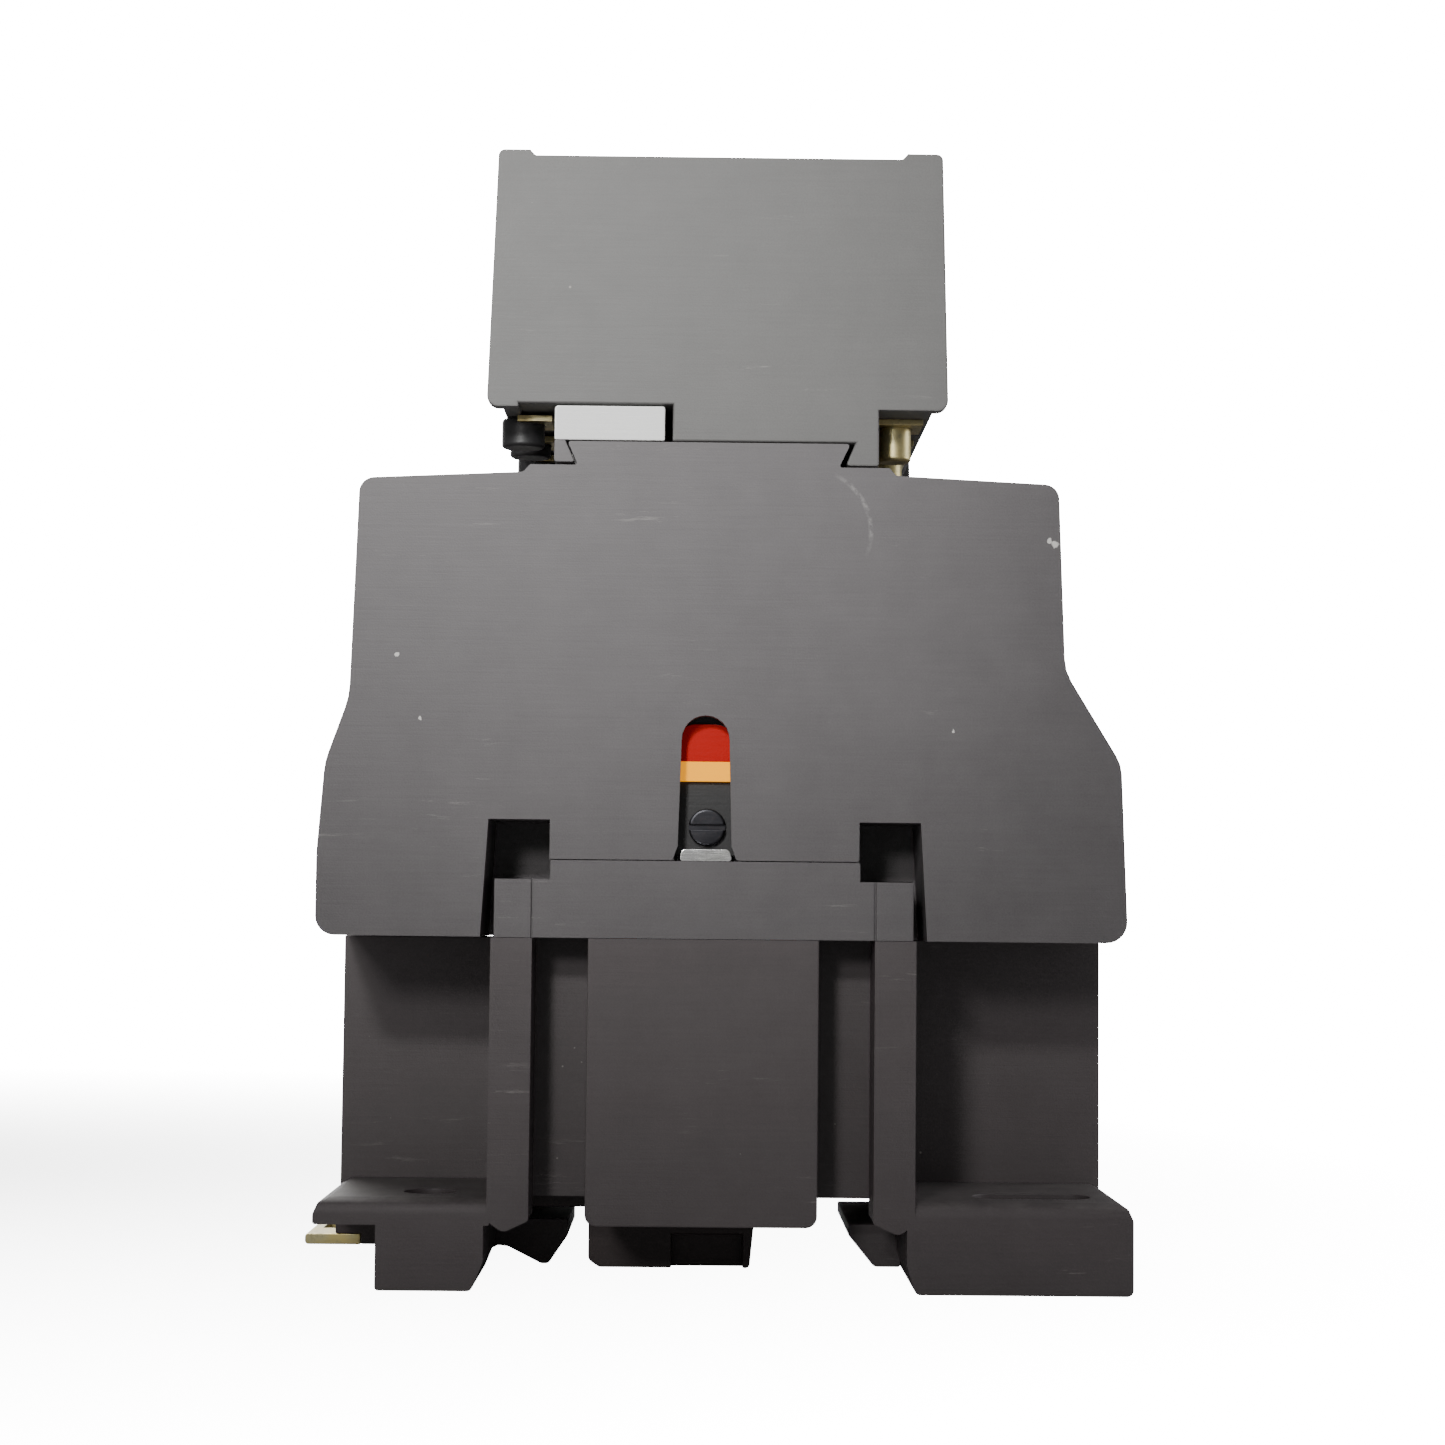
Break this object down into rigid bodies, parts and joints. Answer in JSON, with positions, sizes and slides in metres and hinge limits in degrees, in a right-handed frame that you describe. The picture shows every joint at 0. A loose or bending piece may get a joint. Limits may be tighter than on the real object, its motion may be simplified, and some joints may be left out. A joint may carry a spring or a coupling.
{
  "type": "four-pole contactor with a front auxiliary contact block",
  "caption": "Rail or panel mounted contactor: stepped dark casing on slotted feet with a clip-on auxiliary contact block.",
  "frame": {"origin": "mounting panel plane, on the middle of the rail and of the width", "axes": "+X across the rail towards the slotted foot, +Y along the rail, +Z out of the panel towards the front"},
  "size_m": [0.0881, 0.056, 0.1194],
  "materials": {
    "thermoset": "matt warm dark grey moulded thermoset",
    "dark_thermoset": "matt dark brown moulded plastic",
    "zinc_steel": "yellow-passivated zinc plated steel",
    "bright_steel": "bright plated steel",
    "spring_steel": "drawn spring steel wire",
    "core_steel": "laminated electrical steel",
    "rubber": "black moulded rubber",
    "copper": "bare copper",
    "winding": "enamelled copper wire under varnish",
    "bobbin": "natural moulded plastic",
    "black_plastic": "black moulded plastic",
    "black_steel": "blackened steel",
    "signal_red": "smooth moulded red plastic",
    "signal_amber": "smooth moulded amber plastic",
    "silver": "silver contact alloy",
    "brass": "dull brass",
    "chamber": "pale arc-resisting insert",
    "gloss_grey": "smooth glossy light grey plastic",
    "label": "blank pale label stock"
  },
  "bodies": {
    "frame": {"base": "thermoset", "keel": "dark_thermoset", "latch_spring": "spring_steel", "coil_frame": "thermoset", "stop_clips": "bright_steel", "core_pad": "rubber", "fixed_core": "core_steel", "shading_rings": "copper", "coil_bobbin": "bobbin", "coil_winding": "winding", "coil_terminals": "zinc_steel", "coil_screws": "zinc_steel", "return_springs": "spring_steel", "housing": "thermoset", "arc_plates": "chamber", "housing_screws": "bright_steel", "line_strips": "brass", "load_strips": "brass", "fixed_tips": "silver", "line_clamps": "zinc_steel", "load_clamps": "zinc_steel", "line_screws": "zinc_steel", "load_screws": "zinc_steel", "block_body": "thermoset", "block_cover": "thermoset", "block_latch_spring": "spring_steel", "block_left_strips": "brass", "block_right_strips": "brass", "block_left_clamps": "zinc_steel", "block_right_clamps": "zinc_steel", "block_left_screws": "zinc_steel", "block_right_screws": "zinc_steel", "block_left_barrels": "black_plastic", "block_right_barrels": "brass", "barrel_plates": "brass", "label_plate": "label"},
    "carrier": {"armature": "core_steel", "armature_pin": "bright_steel", "pin_screws": "black_steel", "contact_carrier": "black_plastic", "signal_arms": "signal_red", "signal_bands": "signal_amber", "carrier_head": "signal_red", "contact_springs": "spring_steel"},
    "bridges": {"bridge_1": "copper", "bridge_2": "copper", "bridge_3": "copper", "bridge_4": "copper", "moving_tips": "silver"},
    "slider": {"block_slider": "bobbin", "slider_button": "signal_red", "block_break_bridges": "copper", "block_bridge_springs": "spring_steel"},
    "make_bridges": {"block_make_bridges": "copper"},
    "rail_clip": {"rail_latch": "dark_thermoset", "latch_tab": "zinc_steel"},
    "block_clip": {"block_latch": "gloss_grey", "block_hooks": "thermoset"}
  },
  "joints": [
    {"name": "carrier_slide", "type": "slide", "parent": "frame", "child": "carrier", "axis": [0, 0, -1], "range_m": [0, 0.0052], "stiffness_N_per_m": 400, "springref_m": -0.004, "deforming": ["return_springs"]},
    {"name": "bridge_overtravel", "type": "slide", "parent": "carrier", "child": "bridges", "axis": [0, 0, 1], "range_m": [0, 0.0017], "deforming": ["contact_springs"]},
    {"name": "block_slide", "type": "slide", "parent": "frame", "child": "slider", "axis": [0, 0, -1], "range_m": [0, 0.0052]},
    {"name": "make_overtravel", "type": "slide", "parent": "slider", "child": "make_bridges", "axis": [0, 0, 1], "range_m": [0, 0.002], "deforming": ["block_bridge_springs"]},
    {"name": "rail_latch_slide", "type": "slide", "parent": "frame", "child": "rail_clip", "axis": [-1, 0, 0], "range_m": [0, 0.0035], "stiffness_N_per_m": 500, "springref_m": -0.002, "deforming": ["latch_spring"]},
    {"name": "block_latch_slide", "type": "slide", "parent": "frame", "child": "block_clip", "axis": [-1, 0, 0], "range_m": [0, 0.0016], "stiffness_N_per_m": 300, "springref_m": -0.001, "deforming": ["block_latch_spring"]}
  ],
  "couplings": [
    {"joint": "bridge_overtravel", "follows": "carrier_slide", "ratio": 0.32692},
    {"joint": "block_slide", "follows": "carrier_slide", "ratio": 1},
    {"joint": "make_overtravel", "follows": "carrier_slide", "ratio": 0.38462}
  ]
}
